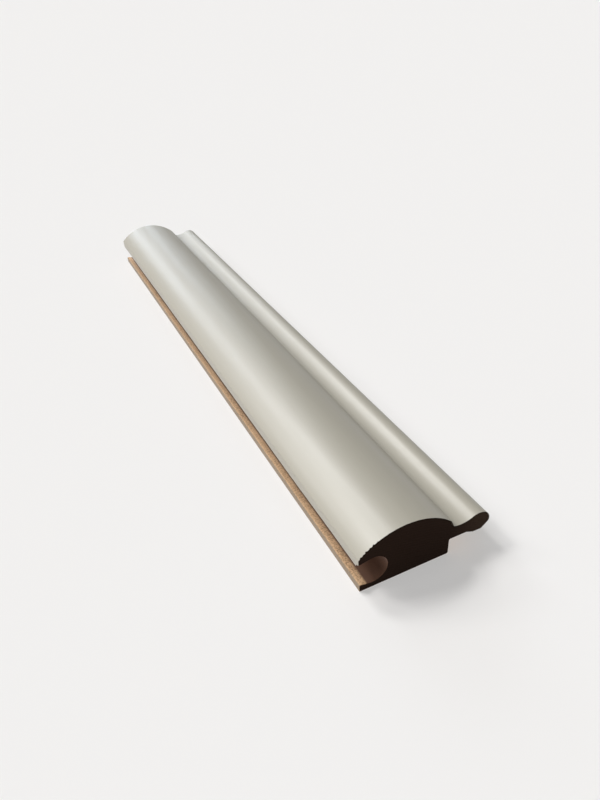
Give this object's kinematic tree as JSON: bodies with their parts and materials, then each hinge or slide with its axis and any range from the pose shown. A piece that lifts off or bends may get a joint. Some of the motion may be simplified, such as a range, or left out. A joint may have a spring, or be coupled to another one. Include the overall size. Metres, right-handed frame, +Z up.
{
  "type": "half round moulding",
  "caption": "Straight foil-wrapped fibreboard moulding with a half round crown, a cove and bead, a grooved and tongued edge, and a rebate under its lip.",
  "frame": {"origin": "under the middle of the piece, on the plane of the flat back that it lies on", "axes": "+X across the moulding from the grooved edge to the bead, +Y along its length, +Z up from the back to the crown"},
  "size_m": [0.0508, 0.322, 0.022],
  "materials": {
    "bare_mdf": "matte, milled",
    "grey_foil": "satin"
  },
  "bodies": {
    "root": {"mdf_core": "bare_mdf", "foil_wrap": "grey_foil"}
  },
  "joints": []
}
